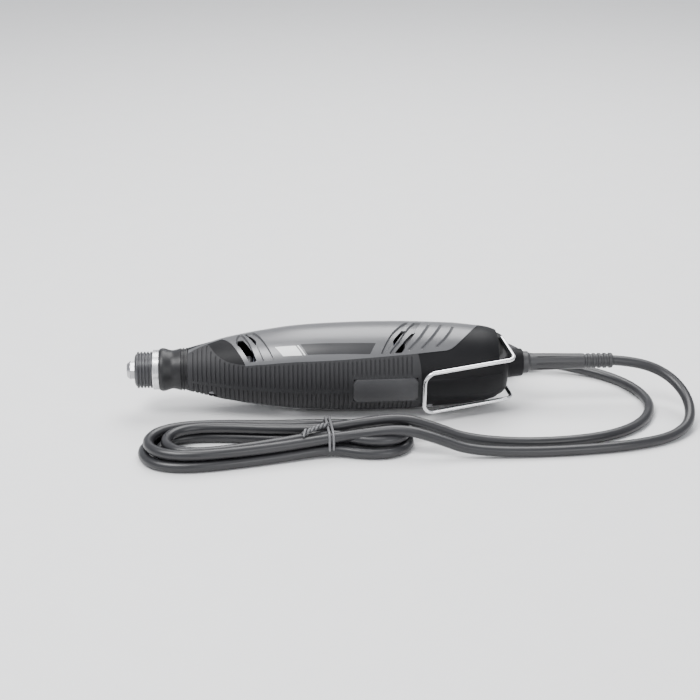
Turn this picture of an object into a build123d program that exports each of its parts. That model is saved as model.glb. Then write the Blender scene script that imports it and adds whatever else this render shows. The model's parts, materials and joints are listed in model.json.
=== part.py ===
from build123d import *
import os
from math import cos, hypot, pi, radians, sin, tan

# Rotary hobby tool, lying on its side with its cord folded into a tied hank. Millimetres.
#
# Every piece of the tool is drawn in the tool's own frame: X is the spindle axis with the nose at -X
# and the tail at +X, +Z is the label side, -Y the belly with the hanger and +Y the back with the
# controls. lay_down() then turns the tool about X and sets it on the ground, Z = 0, with the origin
# under the middle of the tool. The cord is drawn straight in that ground frame.

os.makedirs("parts", exist_ok=True)

# ---------------------------------------------------------------- driving dimensions
NOSE_X = -115.5            # front face of the collet nut
FRONT_X = -80.0            # front face of the housing, where the nose cap ends
TAIL_X = 105.5             # rear face of the housing
NECK_X = 115.5             # end of the neck that the strain relief comes out of
RELIEF_X = 169.0           # end of the strain relief
BODY_R = 25.5              # largest radius of the housing
WALL = 2.4
TRIM_DEPTH = 1.6           # depth of the recess that the trim and grips sit in
TRIM_PROUD = 0.3           # how far they stand out of the housing
ROLL = 12.0                # the label side leans this far towards the belly side
FIT = 0.05                 # radial clearance of a running fit
CORD_R = 3.0
WIRE_R = 1.2               # hanger wire

# Outline of the housing: station along X and radius there.
BODY_OUTLINE = [
    (FRONT_X, 12.4), (-68.0, 15.5), (-56.5, 18.3), (-35.5, 22.0), (-15.0, 24.4),
    (14.0, BODY_R), (43.5, 25.4), (73.0, 24.0), (90.0, 22.3),
]
TAIL_EDGE_R = 12.5

# Inside of the housing, front to back.
CAVITY = [
    (-78.0, 0), (-78.0, 9.5), (-72.0, 9.5), (-72.0, 9.0), (-58.0, 9.0), (-58.0, 13.0), (-50.0, 16.4),
    (-43.0, 18.0), (-30.0, 20.4), (-22.0, 20.9), (14.0, 20.9), (18.0, 22.7), (43.5, 22.8),
    (73.0, 21.4), (90.0, 19.6), (98.0, 17.4), (98.0, 0),
]
BOSS_R = 9.0               # threaded nose boss
BOSS_X = -93.0
SPINDLE_R = 4.0
SHAFT_R = 3.0
STATOR_X = (-22.0, 14.0)
BRUSH_X = 31.0
FRONT_BEARING_X = (-78.0, -72.0)
REAR_BEARING_X = (46.0, 52.0)
BEARING_R = 9.5

LOCK_X = -64.5             # spindle lock
LOCK_PIN_R = 1.45
COLLAR_R = 5.5
DIAL_AT = (87.5, 14.0)     # speed dial's axle, in X and Y
DIAL_R = 9.5
SWITCH_X = 69.0            # thumb pad's centre with the tool off
SWITCH_TRAVEL = 6.0
BAIL_PIVOT = (103.0, 7.0)  # hanger's hinge axis, in X and Y
BAIL_ELBOW = (108.5, -16.3)
BAIL_BAR = (55.5, -29.8)
BAIL_HALF = 13.7           # from the middle plane to each arm's centre line
TAIL_FLAT = 12.2           # half width of the tail between the hanger's arms

# Where the tool's axis lies over the ground frame.
ORIGIN_X = -(NOSE_X + RELIEF_X) / 2
AXIS_Y = 2.75
AXIS_Z = BODY_R + TRIM_PROUD


# ---------------------------------------------------------------- helpers
def turned(outline):
    """Solid of revolution about X from a closed outline of (x, radius) points."""
    face = make_face(Polyline(*[(x, r) for x, r in outline], close=True))
    return revolve(face, axis=Axis.X)


def ring(x0, x1, outer, inner=0.0):
    return turned([(x0, inner), (x1, inner), (x1, outer), (x0, outer)])


def rod(at, direction, length, radius):
    """Round rod from a point along a direction."""
    plane = Plane(origin=at, z_dir=direction)
    return extrude(plane * Circle(radius), amount=length)


def block(x, y, z):
    """Box from its three (low, high) pairs."""
    size = [high - low for low, high in (x, y, z)]
    middle = [(high + low) / 2 for low, high in (x, y, z)]
    return Pos(*middle) * Box(*size)


def prism(outline, low, high, rounding=0.0):
    """Prism along Z from an outline in X and Y."""
    face = make_face(Polyline(*outline, close=True))
    if rounding:
        face = fillet(face.vertices(), rounding)
    return Pos(0, 0, low) * extrude(face, amount=high - low, dir=(0, 0, 1))


def curved_prism(edges, low, high):
    """Prism along Z from a closed chain of edges in X and Y."""
    return Pos(0, 0, low) * extrude(make_face(edges), amount=high - low, dir=(0, 0, 1))


def sector(x0, x1, outer, inner, middle, half):
    """Part of a ring about X, from middle - half to middle + half degrees, 0 at +Y."""
    reach = 3 * outer
    edge = [(0.0, 0.0)]
    for step in range(5):
        angle = radians(middle - half + step * half / 2)
        edge.append((reach * cos(angle), reach * sin(angle)))
    face = make_face(Polyline(*[(0, y, z) for y, z in edge], close=True))
    return ring(x0, x1, outer, inner) & Pos(x0 - 1, 0, 0) * extrude(face, amount=x1 - x0 + 2, dir=(1, 0, 0))


def tube(points, radii, radius):
    """Wire or cord along straight runs joined by tangent arcs, and its path."""
    path = FilletPolyline(*points, radius=radii)
    section = Plane(origin=path @ 0, z_dir=path % 0) * Circle(radius)
    return sweep(section, path=path), path


def mirrored(part):
    return mirror(part, about=Plane.XY)


def lay_down(part):
    return Pos(ORIGIN_X, AXIS_Y, AXIS_Z) * Rot(ROLL, 0, 0) * part


# ---------------------------------------------------------------- housing
def body(grow=0.0):
    """The housing's outer shape as a full solid, grown outwards by a radial amount."""
    outline = [(x, r + grow) for x, r in BODY_OUTLINE]
    end_x, end_r = outline[-1]
    side = Spline(*outline)
    tail = Spline((end_x, end_r), (TAIL_X + grow, TAIL_EDGE_R), tangents=[side % 1, (0, -1)])
    close = Polyline((TAIL_X + grow, TAIL_EDGE_R), (TAIL_X + grow, 0), (FRONT_X, 0), outline[0])
    return revolve(make_face(side + tail + close), axis=Axis.X)


def layer(outer, inner):
    """The shell between two offsets of the housing's surface."""
    return body(outer) - body(inner)


def trim_outline():
    """Silver side panel's edge on the label side, in X and Y."""
    strip_low = Spline((-79.2, -2.2), (-70.0, 2.2), (-60.0, 4.9))
    seat = Spline((-60.0, 4.9), (-55.9, -0.2), (-52.6, -5.7), (-49.3, -11.0), (-46.4, -15.9))
    lower = Spline((-46.4, -15.9), (-29.6, -17.4), (-3.5, -18.6), (22.8, -18.2), (49.2, -16.6), (68.5, -14.5))
    corner = Spline((68.5, -14.5), (71.6, -13.4), (74.2, -11.6))
    rear = Spline((74.2, -11.6), (79.0, -6.8), (84.1, -0.2), (89.0, 8.0))
    upper = Spline((89.0, 8.0), (70.0, 13.6), (45.0, 16.6), (15.0, 18.2), (-15.0, 17.2), (-40.0, 13.6),
                   (-60.0, 8.4), (-79.2, 0.9))
    return strip_low + seat + lower + corner + rear + upper + Line((-79.2, 0.9), (-79.2, -2.2))


def cheek_outline():
    """Dark leaf-shaped insert. Its seam is its own; the trim overlaps its other edges and cuts them."""
    seam = Spline((-69.0, 3.4), (-64.0, -6.4), (-58.2, -11.7), (-51.9, -14.2), (-45.6, -15.0))
    return seam + Polyline((-45.6, -15.0), (-43.0, -10.0), (-56.0, 7.0), (-69.0, 3.4))


def grip_outline():
    """Soft grip, round the belly as far as the parting plane. The cheek and the trim cut its upper edge."""
    return Polyline((-79.6, -1.4), (-70.0, 3.4), (-66.0, 4.4), (-60.0, 0.0), (-44.0, -13.0), (-29.6, -15.4),
                    (-3.5, -16.6), (22.8, -16.2), (52.0, -14.4), (56.0, -30.0), (-79.6, -30.0), close=True)


FRONT_SLOTS = [
    [(-51.2, 1.0), (-48.4, 1.0), (-40.6, -13.6), (-41.0, -15.0), (-44.2, -15.0), (-51.2, -3.6)],
    [(-47.2, 5.4), (-44.6, 5.4), (-40.4, -2.4), (-40.4, -7.0)],
]
REAR_SLOTS = [
    [(42.6, -2.6), (45.8, -2.6), (38.2, -13.0), (38.2, -9.0)],
    [(49.6, -3.0), (51.4, -4.2), (47.0, -11.0), (42.6, -16.0), (38.9, -16.0), (43.4, -11.0)],
]


GROOVES = [
    [(60.4, 5.6), (57.6, -1.0), (53.0, -8.6), (46.6, -15.0)],
    [(67.4, 5.8), (64.8, -0.6), (60.2, -8.0), (54.0, -14.4)],
    [(74.0, 3.6), (71.8, -2.0), (68.0, -8.0), (62.6, -13.2)],
]


def vent_slots(low):
    """Cutter for every vent on the label side, from a height outwards."""
    cutter = None
    for outline in FRONT_SLOTS + REAR_SLOTS:
        slot = prism(outline, low, 40, rounding=0.35)
        cutter = slot if cutter is None else cutter + slot
    return cutter


def screw_places():
    """Housing screws: X, Y and the height of the head's seat, below the parting plane."""
    return [(-66.0, -12.0, -5.5), (60.0, -17.5, -13.0), (95.0, -12.5, -12.5), (57.0, 18.0, -13.0)]


def housing_screw(x, y, seat):
    """Driven in from the far side: head, shank and the drive recess."""
    head = rod((x, y, seat - 2.0), (0, 0, 1), 2.0, 2.75)
    shank = rod((x, y, seat), (0, 0, 1), 4.0 - seat, 1.45)
    recess = rod((x, y, seat - 2.1), (0, 0, 1), 0.9, 1.1)
    return head + shank - recess


def screw_well(x, y, seat):
    """Counterbore that a screw's head sits in."""
    return rod((x, y, seat - 22.0), (0, 0, 1), 21.0, 2.9)


def keel():
    """Flat ridge along the belly of the tail, between the hanger's arms."""
    return layer(0.8, 0.0) & block((57.5, 102.0), (-30, 0), (-5.6, 5.6))


def housing():
    shell = body() + ring(BOSS_X, FRONT_X, BOSS_R) + keel()
    neck = turned([(TAIL_X - 1, 0), (TAIL_X - 1, 10.5), (TAIL_X, 10.5), (TAIL_X + 1.2, 8.6),
                   (NECK_X - 0.8, 8.0), (NECK_X, 7.2), (NECK_X, 0)])
    shell += neck
    shell -= turned(CAVITY)
    shell -= ring(BOSS_X - 1, FRONT_BEARING_X[0] + 1, 6.0)
    shell -= ring(TAIL_X - 10, NECK_X + 1, 5.5)
    inside = body(-0.5)
    for x, y, seat in screw_places():
        shell += rod((x, y, -30), (0, 0, 1), 60, 3.4) & inside
        shell -= housing_screw(x, y, seat)
        shell -= screw_well(x, y, seat)
    shell += block((84.0, 92.0), (-10.5, -3.9), (0.0, 18.0)) & inside
    for x in CLAMP_SCREW_X:
        shell -= clamp_screw(x)
    for side in (-1, 1):
        shell -= block((99.5, 120.0), (-30, 30), tuple(sorted((side * TAIL_FLAT, side * 40))))
        shell -= rod((*BAIL_PIVOT, side * 20), (0, 0, -side), 12.0, WIRE_R + FIT)
    return shell


def control_openings():
    """Openings on the back: spindle lock, power switch and speed dial."""
    lock = block((LOCK_X - 4.7, LOCK_X + 4.7), (10.6, 30), (-3.7, 3.7))
    lock += rod((LOCK_X, 8.0, 0), (0, 1, 0), 4.0, LOCK_PIN_R + 0.25)
    slot = block((SWITCH_X - SWITCH_TRAVEL - 2.6, SWITCH_X + 2.6), (18, 30), (-2.4, 2.4))
    dial = block((DIAL_AT[0] - 10.2, DIAL_AT[0] + 10.2), (12.0, 30), (-3.9, 3.9))
    return lock + slot + dial


def housing_shell():
    """The housing with its openings and the seats of the trim, the grips and the belly pad."""
    shell = housing() - control_openings() - belly_pad()
    skin = layer(2.0, -TRIM_DEPTH)
    seats = [skin & curved_prism(trim_outline(), 2, 30), skin & curved_prism(cheek_outline(), 2, 30),
             skin & curved_prism(grip_outline(), 0, 30)]
    for cutter in [*seats, vent_slots(2)]:
        shell -= cutter
        shell -= mirrored(cutter)
    return shell


# ---------------------------------------------------------------- trim and grips
def trim():
    """Silver side panel with its bars, slots, sunk vent fields and grooves."""
    panel = layer(TRIM_PROUD, -TRIM_DEPTH) & curved_prism(trim_outline(), 2, 30)
    sunk = layer(2.0, -0.5)
    front_field = prism([(-50.6, 7.0), (-41.6, 7.0), (-30.0, -15.9), (-42.5, -15.2), (-51.8, -3.4), (-51.8, 2.0)],
                        2, 40, rounding=0.8)
    rear_field = prism([(46.5, 8.0), (56.0, 8.0), (50.0, -6.0), (43.2, -16.3), (30.5, -16.8), (37.5, -4.5)],
                       2, 40, rounding=0.8)
    bars = prism([(-48.8, 7.5), (-46.6, 7.5), (-36.2, -16.2), (-39.6, -16.2)], 2, 40)
    bars += prism([(49.0, 8.5), (51.8, 8.5), (41.6, -9.5), (34.6, -17.2), (32.6, -17.2), (39.8, -9.5)], 2, 40)
    panel -= sunk & (front_field + rear_field - bars)
    for path in GROOVES:
        panel -= layer(2.0, -0.45) & curved_prism(ribbon(Spline(*path), 0.45), 2, 40)
    return panel - vent_slots(2)


def ribbon(path, half):
    """Closed outline of a narrow band along a path in X and Y."""
    steps = 6
    left, right = [], []
    for index in range(steps + 1):
        spot = path @ (index / steps)
        run = path % (index / steps)
        left.append((spot.X - run.Y * half, spot.Y + run.X * half))
        right.append((spot.X + run.Y * half, spot.Y - run.X * half))
    return Polyline(*left, *reversed(right), close=True)


def cheek():
    return layer(0.1, -TRIM_DEPTH) & (curved_prism(cheek_outline(), 2, 30) - curved_prism(trim_outline(), 2, 30))


def soft_grip():
    field = curved_prism(grip_outline(), 0, 30)
    for outline in (trim_outline(), cheek_outline()):
        field -= curved_prism(outline, 2, 31)
    return (layer(TRIM_PROUD, -TRIM_DEPTH) & field) - belly_pad()


def belly_pad():
    outline = Pos(33.5, 0, 0) * RectangleRounded(37.0, 15.2, 3.0)
    cutter = extrude(Plane.XZ * outline, amount=40)
    return layer(1.0, -TRIM_DEPTH) & cutter


# ---------------------------------------------------------------- nose
def nose_cap():
    """Waisted barrel that screws on the nose boss."""
    outer = Spline((-96.5, 12.0), (-94.8, 12.55), (-89.6, 11.3), (-85.0, 12.1), (-84.0, 12.3))
    back = Polyline((-84.0, 12.3), (-83.7, 11.8), (-83.2, 11.8), (-82.9, 12.4), (-82.3, 12.4), (-82.0, 11.9),
                    (-81.5, 11.9), (-81.2, 12.4), (-80.3, 12.4), (-80.3, BOSS_R + FIT),
                    (BOSS_X - 0.3, BOSS_R + FIT), (BOSS_X - 0.3, 7.2), (-96.5, 7.2), (-96.5, 12.0))
    return revolve(make_face(outer + back), axis=Axis.X)


def nose_cap_ring():
    return turned([(-100.5, 7.0), (-96.5, 7.0), (-96.5, 11.2), (-96.9, 11.6), (-100.1, 11.6), (-100.5, 11.2)])


def nose_cap_collar():
    """Ribbed collar in front of the ring, with five round ribs."""
    first, pitch = -109.6, 1.9
    outline = [(-100.5, 7.0), (-100.5, 10.3)]
    for rib in reversed(range(5)):
        x = first + rib * pitch
        outline += [(x + 1.25, 9.7), (x + 1.0, 10.6), (x + 0.2, 10.6), (x - 0.05, 9.7)]
    outline += [(-110.4, 9.2), (-110.8, 8.4), (-110.8, 7.0)]
    return turned(outline)


def collet_nut():
    nut = turned([(NOSE_X, 2.5), (NOSE_X, 3.9), (-113.6, 5.4), (-101.0, 5.6), (-101.0, 3.55), (-110.0, 3.55),
                  (-110.6, 2.5)])
    flats = extrude(Plane(origin=(-113.4, 0, 0), z_dir=(1, 0, 0)) * RegularPolygon(4.75, 6, major_radius=False),
                    amount=7.4)
    return nut - (ring(-113.4, -106.0, 8.0) - flats)


def collet():
    """Split collet that takes a 3.2 mm shank."""
    sleeve = turned([(NOSE_X + 0.4, 1.6), (NOSE_X + 0.4, 2.3), (-114.6, 2.45), (-97.0, 2.4), (-97.0, 1.6)])
    for angle in (45, 135):
        sleeve -= Rot(angle, 0, 0) * block((NOSE_X, -103.0), (-3, 3), (-0.2, 0.2))
    return sleeve


def spindle():
    shaft = turned([(-110.0, 2.45), (-110.0, 3.2), (-109.6, 3.5), (-99.0, 3.5), (-99.0, SPINDLE_R),
                    (-71.0, SPINDLE_R), (-71.0, COLLAR_R), (-58.5, COLLAR_R), (-58.5, SPINDLE_R),
                    (-50.0, SPINDLE_R), (-50.0, 0), (-96.8, 0), (-96.8, 2.45)])
    for direction in ((0, 1, 0), (0, 0, 1)):
        start = (LOCK_X, -8 * direction[1], -8 * direction[2])
        shaft -= rod(start, direction, 16.0, LOCK_PIN_R + 0.25)
    return shaft


# ---------------------------------------------------------------- bearings
def bearing(x0, x1, bore):
    """Outer race, inner race and balls of a deep-groove bearing."""
    middle = (x0 + x1) / 2
    pitch = (bore + BEARING_R) / 2
    ball = 0.3 * (BEARING_R - bore)
    groove = Pos(middle, 0, 0) * Rot(0, 90, 0) * Torus(pitch, ball + 0.03)
    outer = ring(x0, x1, BEARING_R, pitch + 0.55 * ball) - groove
    inner = ring(x0, x1, pitch - 0.55 * ball, bore) - groove
    balls = []
    for index in range(8):
        angle = radians(45 * index + 22.5)
        balls.append(Pos(middle, pitch * cos(angle), pitch * sin(angle)) * Sphere(ball))
    return outer, inner, Compound(balls)


# ---------------------------------------------------------------- motor
def drive_coupling():
    sleeve = turned([(-57.0, SPINDLE_R), (-57.0, 6.2), (-56.2, 7.0), (-44.0, 7.0), (-43.2, 6.2), (-43.2, SHAFT_R),
                     (-50.0, SHAFT_R), (-50.0, SPINDLE_R)])
    for index in range(8):
        sleeve -= Rot(45 * index, 0, 0) * block((-54.5, -45.5), (6.2, 8.0), (-0.7, 0.7))
    return sleeve


def cooling_fan():
    fan = ring(-42.5, -35.0, 5.5, SHAFT_R) + ring(-36.2, -35.0, 16.2, 5.0)
    blade = Pos(0, 10.6, 0) * Rot(0, 18, 0) * Box(6.0, 10.8, 0.9)
    for index in range(11):
        fan += Rot(360 * index / 11, 0, 0) * Pos(-39.0, 0, 0) * blade
    return fan


def armature_shaft():
    return turned([(-50.0, 0), (-50.0, SHAFT_R), (53.6, SHAFT_R), (54.0, 2.6), (54.0, 0)])


SLOTS = 12


def armature_core():
    core = ring(-20.0, 12.0, 11.9, SHAFT_R)
    for index in range(SLOTS):
        core -= Rot(360 * index / SLOTS, 0, 0) * block((-21, 13), (7.4, 11.2), (-1.1, 1.1))
        core -= Rot(360 * index / SLOTS, 0, 0) * block((-21, 13), (11.0, 12.5), (-0.5, 0.5))
    return core


def armature_windings():
    end_turn = [(0.0, 4.0), (0.0, 11.0), (4.5, 10.6), (6.6, 8.0), (6.8, 4.0)]
    coils = turned([(-20.0 - x, r) for x, r in end_turn]) + turned([(12.0 + x, r) for x, r in end_turn])
    for index in range(SLOTS):
        coils += Rot(360 * index / SLOTS, 0, 0) * block((-20.4, 12.4), (7.6, 10.9), (-0.95, 0.95))
    return coils


def commutator():
    copper = turned([(22.0, SHAFT_R), (22.0, 7.6), (24.0, 7.6), (24.2, 6.3), (37.0, 6.3), (37.0, SHAFT_R)])
    for index in range(2 * SLOTS):
        copper -= Rot(180 * index / SLOTS, 0, 0) * block((21, 38), (5.3, 8.0), (-0.15, 0.15))
    return copper


def stator_core():
    x0, x1 = STATOR_X
    core = ring(x0, x1, 20.8, 17.8)
    for middle in (0, 180):
        core += sector(x0, x1, 18.2, 12.5, middle, 52)
    return core


def field_coil(middle):
    """Racetrack winding round one pole: two end turns and two sides."""
    x0, x1 = STATOR_X
    coil = sector(x0 - 6.5, x1 + 5.5, 17.4, 13.2, middle, 84)
    return coil - sector(x0 - 0.2, x1 + 0.2, 19.0, 12.0, middle, 53)


# ---------------------------------------------------------------- brush gear
HOLDER = ((BRUSH_X - 3.5, BRUSH_X + 3.5), (-3.8, 3.8), (7.6, 21.5))


def both_sides(part):
    return Compound([part, mirrored(part)])


def brush_holder():
    tunnel = block((BRUSH_X - 2.55, BRUSH_X + 2.55), (-2.55, 2.55), (7.0, 20.6))
    return block(*HOLDER) - tunnel


def carbon_brush():
    face = ring(BRUSH_X - 4, BRUSH_X + 4, 6.35)
    return block((BRUSH_X - 2.5, BRUSH_X + 2.5), (-2.5, 2.5), (5.6, 14.5)) - face


def coil_spring(radius, wire, pitch, height):
    """Coil spring that stands on Z = 0, its ends one wire radius inside its height."""
    path = Helix(pitch=pitch, height=height - 2 * wire, radius=radius)
    section = Plane(origin=path @ 0, z_dir=path % 0) * Circle(wire)
    return Pos(0, 0, wire) * sweep(section, path=path, is_frenet=True)


def brush_spring():
    return Pos(BRUSH_X, 0, 14.55) * coil_spring(1.9, 0.25, 1.2, 5.95)


def brush_yoke():
    plate = ring(BRUSH_X - 3.5, BRUSH_X + 3.5, 22.6, 9.0)
    for side in (-1, 1):
        low, high = sorted((side * HOLDER[2][0], side * HOLDER[2][1]))
        plate -= block((BRUSH_X - 4, BRUSH_X + 4), HOLDER[1], (low, high))
        plate -= rod((BRUSH_X - 4, side * 15.5, 0), (1, 0, 0), 8.0, 4.2)
    return plate


def rear_bearing_bracket():
    x0, x1 = REAR_BEARING_X
    plate = ring(x0 - 1.0, x1 + 1.0, 22.2, 6.5) - ring(x0, x1 + 2, BEARING_R)
    for index in range(4):
        angle = radians(90 * index)
        plate -= rod((x0 - 2, 16.0 * cos(angle), 16.0 * sin(angle)), (1, 0, 0), 12.0, 4.0)
    return plate


# ---------------------------------------------------------------- controls
def speed_control_board():
    board = block((57.5, 82.0), (-4.6, -3.0), (-15.0, 15.0))
    for x, z in ((60.0, -12.5), (60.0, 12.5), (79.5, -12.5), (79.5, 12.5)):
        board -= rod((x, -6, z), (0, 1, 0), 6.0, 1.2)
    return board


def suppression_capacitor():
    return fillet(block((66.0, 79.0), (-11.5, -4.6), (2.0, 12.0)).edges().filter_by(Axis.Y), 1.0)


def heat_sink():
    """Triac on its finned aluminium heat sink, under the board."""
    sink = block((66.0, 79.0), (-6.4, -4.6), (-12.0, -2.0))
    for index in range(4):
        z = -11.4 + 2.6 * index
        sink += block((66.0, 79.0), (-11.0, -6.4), (z, z + 1.1))
    return sink


def speed_potentiometer():
    x, y = DIAL_AT
    return rod((x, y, -8.2), (0, 0, 1), 4.2, 3.4) + rod((x, y, -4.2), (0, 0, 1), 8.0, 1.5)


def speed_dial():
    """Thumbwheel with a knurled rim."""
    x, y = DIAL_AT
    wheel = rod((x, y, -3.3), (0, 0, 1), 6.6, DIAL_R)
    wheel = chamfer(wheel.edges().filter_by(GeomType.CIRCLE), 0.5)
    for index in range(30):
        angle = radians(12 * index)
        wheel -= rod((x + DIAL_R * cos(angle), y + DIAL_R * sin(angle), -4), (0, 0, 1), 8.0, 0.45)
    return wheel - rod((x, y, -4), (0, 0, 1), 8.0, 1.5 + FIT)


def power_switch_body():
    case = block((60.8, 77.0), (6.2, 15.4), (-5.0, 5.0))
    return case - block((SWITCH_X - SWITCH_TRAVEL - 2.4, SWITCH_X + 2.4), (12.8, 16), (-1.9, 1.9))


def power_switch_button():
    """Ribbed thumb pad over the housing and its stem down into the switch."""
    low_x, high_x = SWITCH_X - 6.0, SWITCH_X + 6.0
    pad = block((low_x, high_x), (25.2, 27.0), (-4.6, 4.6))
    pad = fillet(pad.edges().filter_by(Axis.Y), 2.0)
    pad = chamfer(pad.faces().sort_by(Axis.Y)[-1].edges(), 0.6)
    for index in range(4):
        x = SWITCH_X - 3.3 + 2.2 * index
        pad += block((x - 0.4, x + 0.4), (26.4, 27.5), (-3.2, 3.2))
    return pad + block((SWITCH_X - 2.0, SWITCH_X + 2.0), (13.0, 25.4), (-1.6, 1.6))


def spindle_lock_button():
    x = LOCK_X
    pad = block((x - 4.4, x + 4.4), (13.4, 18.2), (-3.4, 3.4))
    pad = fillet(pad.edges().filter_by(Axis.Y), 1.5)
    pad = fillet(pad.faces().sort_by(Axis.Y)[-1].edges(), 0.6)
    return pad + rod((x, 6.0, 0), (0, 1, 0), 8.0, LOCK_PIN_R)


def spindle_lock_spring():
    return Pos(LOCK_X, 10.62, 0) * Rot(-90, 0, 0) * coil_spring(2.6, 0.25, 0.9, 2.76)


# ---------------------------------------------------------------- wiring and cord entry
CLAMP_SCREW_X = (86.2, 89.8)


def clamp_screw(x):
    return rod((x, -7.4, -7.6), (0, 0, 1), 1.6, 2.0) + rod((x, -7.4, -6.0), (0, 0, 1), 14.0, 1.1)


def clamp_screws():
    return Compound([clamp_screw(x) for x in CLAMP_SCREW_X])


def cord_clamp():
    plate = block((84.0, 92.0), (-10.5, -3.9), (-6.0, -0.05)) + block((84.0, 92.0), (-3.9, 3.2), (-6.0, -2.0))
    plate -= rod((83, 0, 0), (1, 0, 0), 10.0, CORD_R)
    for x in CLAMP_SCREW_X:
        plate -= clamp_screw(x)
    return plate


def cord_jacket_end():
    return rod((82.6, 0, 0), (1, 0, 0), 11.4, CORD_R)


def supply_leads():
    """Two leads from the cord's jacket: one to the switch, one to the board."""
    leads = []
    for points in (
        [(82.6, 1.1, 1.2), (79.0, 1.1, 1.2), (73.0, 2.0, 2.6), (70.0, 3.0, 2.6), (70.0, 6.2, 2.6)],
        [(82.6, -1.1, -1.2), (79.5, -1.1, -1.2), (75.0, 0.6, -2.0), (71.0, 0.6, -2.6), (71.0, -3.0, -2.6)],
    ):
        leads.append(tube(points, 1.2, 0.8)[0])
    return Compound(leads)


def motor_lead():
    route = [(61.0, -3.0, 9.0), (61.0, 0.5, 9.0), (56.0, 0.5, 15.0), (44.0, 0.0, 15.5), (38.5, 0.0, 14.0), (34.5, 0.0, 14.0)]
    return tube(route, 1.2, 0.8)[0]


def strain_relief():
    """Flanged rubber sleeve that tapers to the cord, with ring grooves at its thin end."""
    outline = [(94.0, 0), (94.0, 6.4), (98.0, 6.4), (98.0, 5.45), (NECK_X, 5.45), (NECK_X, 6.6), (118.5, 6.4),
               (120.0, 5.2), (152.0, 4.5)]
    for index in range(5):
        x = 152.6 + 3.2 * index
        outline += [(x, 3.9), (x + 1.0, 3.9), (x + 1.4, 4.5), (x + 2.8, 4.45)]
    outline += [(RELIEF_X - 0.4, 4.3), (RELIEF_X, 3.9), (RELIEF_X, 0)]
    relief = turned(outline)
    for index in range(8):
        relief -= Rot(45 * index + 22.5, 0, 0) * Pos(0, 5.3, 0) * block((124.0, 149.0), (-0.7, 1.0), (-0.55, 0.55))
    return relief


# ---------------------------------------------------------------- hanger
def hanger_bail():
    """Sprung wire hoop: its bent-in ends are the hinge pins."""
    half = []
    for x, y, z in ((*BAIL_PIVOT, 8.4), (*BAIL_PIVOT, BAIL_HALF), (*BAIL_ELBOW, BAIL_HALF), (*BAIL_BAR, BAIL_HALF)):
        half.append((x, y, z))
    points = half + [(x, y, -z) for x, y, z in reversed(half)]
    return tube(points, [1.9, 4.0, 6.0, 6.0, 4.0, 1.9], WIRE_R)[0]


# ---------------------------------------------------------------- cord, in the ground frame
RELIEF_END = (ORIGIN_X + RELIEF_X, AXIS_Y, AXIS_Z)
HANK_MIDDLE = (-56.0, -55.0)   # centre of the hank on the ground
HANK_TURN = 4.0                # its slope to the tool's axis, degrees
HANK_HALF = 77.0               # half length
HANK_END_HALF = 23.5           # half width at the looped ends
HANK_TIE_HALF = 12.6           # half width at the tie
HANK_HIGH = 12.4
TIE_AT = 29.0                  # tie's place along the hank, from its middle

LEAD_ROUTE = [
    RELIEF_END, (157.0, 2.0, 25.0), (174.0, -5.0, 20.0), (183.0, -20.0, 12.0), (181.0, -39.0, 5.0),
    (168.0, -54.0, 3.05), (147.0, -63.0, 3.05), (118.0, -68.0, 3.05), (84.0, -70.0, 3.05), (50.0, -69.0, 4.5),
    (33.0, -66.0, 8.0), (17.0, -62.0, 9.2),
]
TAIL_ROUTE = [
    (17.0, -47.5, 9.2), (32.0, -50.5, 8.0), (50.0, -54.5, 4.5), (80.0, -58.5, 3.05), (112.0, -57.0, 3.05),
    (138.0, -49.0, 3.05), (156.0, -33.0, 3.05), (164.0, -11.0, 3.05), (160.0, 12.0, 3.05), (147.0, 31.0, 3.05),
    (127.0, 43.0, 4.2), (105.0, 48.0, 6.85),
]
PLUG_NOSE = (74.0, 51.0)       # face that the pins stand on


def arc_radii(route):
    """For each corner, 0.45 of its shorter run over the tangent of half the turn."""
    radii = []
    for before, corner, after in zip(route, route[1:], route[2:]):
        run_in = Vector(*corner) - Vector(*before)
        run_out = Vector(*after) - Vector(*corner)
        turn = radians(run_in.get_angle(run_out))
        radii.append(0.45 * min(run_in.length, run_out.length) / tan(turn / 2))
    return radii


def cord_tube(name, route):
    radii = arc_radii(route)
    solid, path = tube(route, radii, CORD_R)
    print(name, "radii", [round(r) for r in radii], "length", round(path.length),
          "volume ratio", round(solid.volume / (path.length * pi * CORD_R ** 2), 4))
    return solid


def on_hank(part):
    return Pos(*HANK_MIDDLE, 0) * Rot(0, 0, HANK_TURN) * part


def hank_outline(grow=0.0):
    """Bone-shaped outline of the hank: looped ends and a waist at the tie."""
    end = HANK_HALF + grow
    wide = HANK_END_HALF + grow
    waist = HANK_TIE_HALF + grow
    top = Spline((-end, 0), (-end + 22, wide), (-8.0, 0.8 * wide), (TIE_AT, waist), (end - 16, 0.86 * wide),
                 (end, 0), tangents=[(0, 1), (0, -1)])
    return top + mirror(top, about=Plane.XZ)


def cord_hank():
    face = make_face(hank_outline())
    hank = extrude(face, amount=HANK_HIGH, dir=(0, 0, 1))
    return on_hank(hank)


def cord_tie():
    """Twist tie: a flat strap round the hank's waist."""
    half = HANK_TIE_HALF + 0.9
    strap = block((TIE_AT - 2.6, TIE_AT + 2.6), (-half, half), (0.0, HANK_HIGH + 1.0))
    knot = block((TIE_AT - 3.4, TIE_AT + 3.4), (-3.0, 3.0), (HANK_HIGH + 0.4, HANK_HIGH + 3.2))
    return on_hank(strap + knot) - cord_hank()


def on_plug(part):
    """Plug frame: X runs from the cord's end to the pins, Z is up."""
    back = TAIL_ROUTE[-1]
    heading = (PLUG_NOSE[0] - back[0], PLUG_NOSE[1] - back[1], 0)
    return Plane(origin=back, x_dir=heading, z_dir=(0, 0, 1)) * part


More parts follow.
